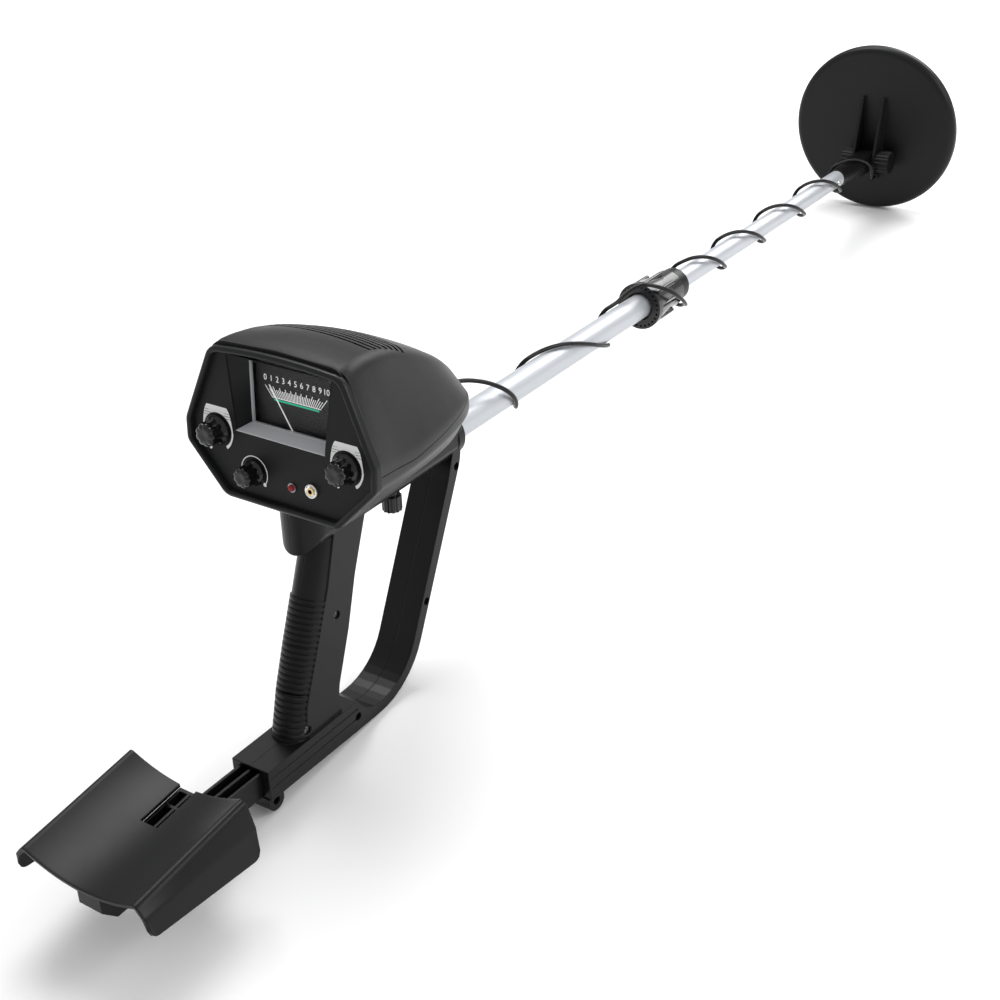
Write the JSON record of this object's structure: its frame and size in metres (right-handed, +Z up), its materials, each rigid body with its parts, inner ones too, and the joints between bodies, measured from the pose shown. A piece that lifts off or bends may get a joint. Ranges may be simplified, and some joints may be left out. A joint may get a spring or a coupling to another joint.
{
  "type": "metal detector",
  "caption": "Handheld metal detector: dial control box on a D-handle, sliding armrest, telescopic pole with wound lead and a tilting round search coil.",
  "frame": {"origin": "centre of the bounding box in x and y, on the ground that the handle's loop and the coil's rim stand on", "axes": "+Y forward from the armrest to the coil, +Z up, +X to the user's right; the pole slopes down forwards by 6.5 degrees"},
  "size_m": [0.21, 1.421, 0.3443],
  "materials": {
    "case_black": "fine-grained moulded black plastic",
    "frame_black": "satin moulded black plastic",
    "rim_black": "smooth semi-gloss black plastic rim",
    "panel_black": "fine textured black panel with white marks",
    "dial_black": "black dial card with white scale",
    "knob_black": "glossy black knob plastic",
    "clear": "clear moulded plastic",
    "tube_silver": "pale satin anodised tube",
    "bright_steel": "bright plated steel",
    "screw_steel": "dark zinc screw",
    "lead_black": "glossy black lead jacket",
    "led_red": "red lens",
    "needle_white": "white painted needle",
    "copper": "enamelled copper wire",
    "board_green": "green circuit board",
    "speaker_grey": "dark grey speaker",
    "battery_gold": "printed battery case, plain",
    "bush_white": "natural nylon"
  },
  "bodies": {
    "handle": {"frame_left": "frame_black", "frame_right": "frame_black", "frame_screws": "screw_steel", "box_upper_shell": "case_black", "box_lower_shell": "case_black", "box_bezel": "rim_black", "control_panel": "panel_black", "box_screws": "screw_steel", "meter_body": "panel_black", "meter_window": "clear", "meter_dial": "dial_black", "potentiometers": "screw_steel", "pot_nuts": "bright_steel", "headphone_jack": "screw_steel", "jack_nut": "bright_steel", "led_lamp": "led_red", "led_holder": "knob_black", "circuit_board": "board_green", "board_screws": "screw_steel", "speaker": "speaker_grey", "batteries": "battery_gold", "battery_clips": "speaker_grey", "cable_gland": "lead_black", "upper_tube": "tube_silver", "tube_ferrule": "frame_black", "clamp_nut": "frame_black", "cable_upper": "lead_black"},
    "knob_disc": {"disc_knob": "knob_black", "disc_shaft": "bright_steel"},
    "knob_sens": {"sens_knob": "knob_black", "sens_shaft": "bright_steel"},
    "knob_volume": {"volume_knob": "knob_black", "volume_shaft": "bright_steel"},
    "needle": {"meter_needle": "needle_white", "meter_coil": "copper"},
    "door_left": {"battery_door_left": "case_black"},
    "door_right": {"battery_door_right": "case_black"},
    "clamp_screw": {"clamp_knob": "frame_black", "clamp_stud": "bright_steel"},
    "armrest": {"armrest_saddle": "frame_black", "armrest_bar": "frame_black", "armrest_screws": "screw_steel"},
    "collar": {"lock_collar": "frame_black"},
    "pole_lower": {"lower_tube": "tube_silver", "tube_bush": "bush_white", "yoke": "frame_black", "yoke_rivet": "bright_steel", "cable_lower": "lead_black"},
    "coil": {"coil_top_shell": "frame_black", "coil_bottom_shell": "frame_black", "tx_winding": "copper", "rx_winding": "copper", "coil_gland": "lead_black", "hinge_bolt": "frame_black", "hinge_washers": "lead_black", "cable_tail": "lead_black"},
    "nut": {"hinge_nut": "frame_black"}
  },
  "joints": [
    {"name": "disc_turn", "type": "hinge", "parent": "handle", "child": "knob_disc", "pos_m": [-0.06, -0.44955, 0.27065], "axis": [0, 0.9825, -0.1864], "range_deg": [0, 300]},
    {"name": "sens_turn", "type": "hinge", "parent": "handle", "child": "knob_sens", "pos_m": [0.06, -0.44983, 0.26918], "axis": [0, 0.9825, -0.1864], "range_deg": [0, 300]},
    {"name": "volume_turn", "type": "hinge", "parent": "handle", "child": "knob_volume", "pos_m": [-0.0264, -0.4543, 0.2456], "axis": [0, 0.9825, -0.1864], "range_deg": [-150, 150]},
    {"name": "needle_swing", "type": "hinge", "parent": "handle", "child": "needle", "pos_m": [0.0004, -0.42901, 0.26625], "axis": [0, 0.9825, -0.1864], "range_deg": [-5, 70], "stiffness_Nm_per_rad": 0.0005},
    {"name": "door_left_swing", "type": "hinge", "parent": "handle", "child": "door_left", "pos_m": [-0.0416, -0.40546, 0.21707], "axis": [0, 0.9935, -0.1139], "range_deg": [0, 95]},
    {"name": "door_right_swing", "type": "hinge", "parent": "handle", "child": "door_right", "pos_m": [0.0416, -0.40546, 0.21707], "axis": [0, -0.9935, 0.1139], "range_deg": [0, 95]},
    {"name": "clamp_turn", "type": "hinge", "parent": "handle", "child": "clamp_screw", "pos_m": [0, -0.33776, 0.15787], "axis": [0, 0.1139, 0.9935], "range_deg": [-180, 180]},
    {"name": "armrest_slide", "type": "slide", "parent": "handle", "child": "armrest", "axis": [0, -0.9935, 0.1139], "range_m": [-0.04, 0.03]},
    {"name": "collar_twist", "type": "hinge", "parent": "handle", "child": "collar", "pos_m": [0, 0.09882, 0.13801], "axis": [0, 0.9935, -0.1139], "range_deg": [0, 120]},
    {"name": "pole_extend", "type": "slide", "parent": "handle", "child": "pole_lower", "axis": [0, 0.9935, -0.1139], "range_m": [-0.195, 0], "deforming": ["cable_lower"]},
    {"name": "coil_tilt", "type": "hinge", "parent": "pole_lower", "child": "coil", "pos_m": [0, 0.67107, 0.0724], "axis": [-1, 0, 0], "range_deg": [-20, 95], "deforming": ["cable_tail"]},
    {"name": "hinge_nut_turn", "type": "hinge", "parent": "coil", "child": "nut", "pos_m": [0.024, 0.67107, 0.0724], "axis": [1, 0, 0], "range_deg": [-180, 180]}
  ]
}
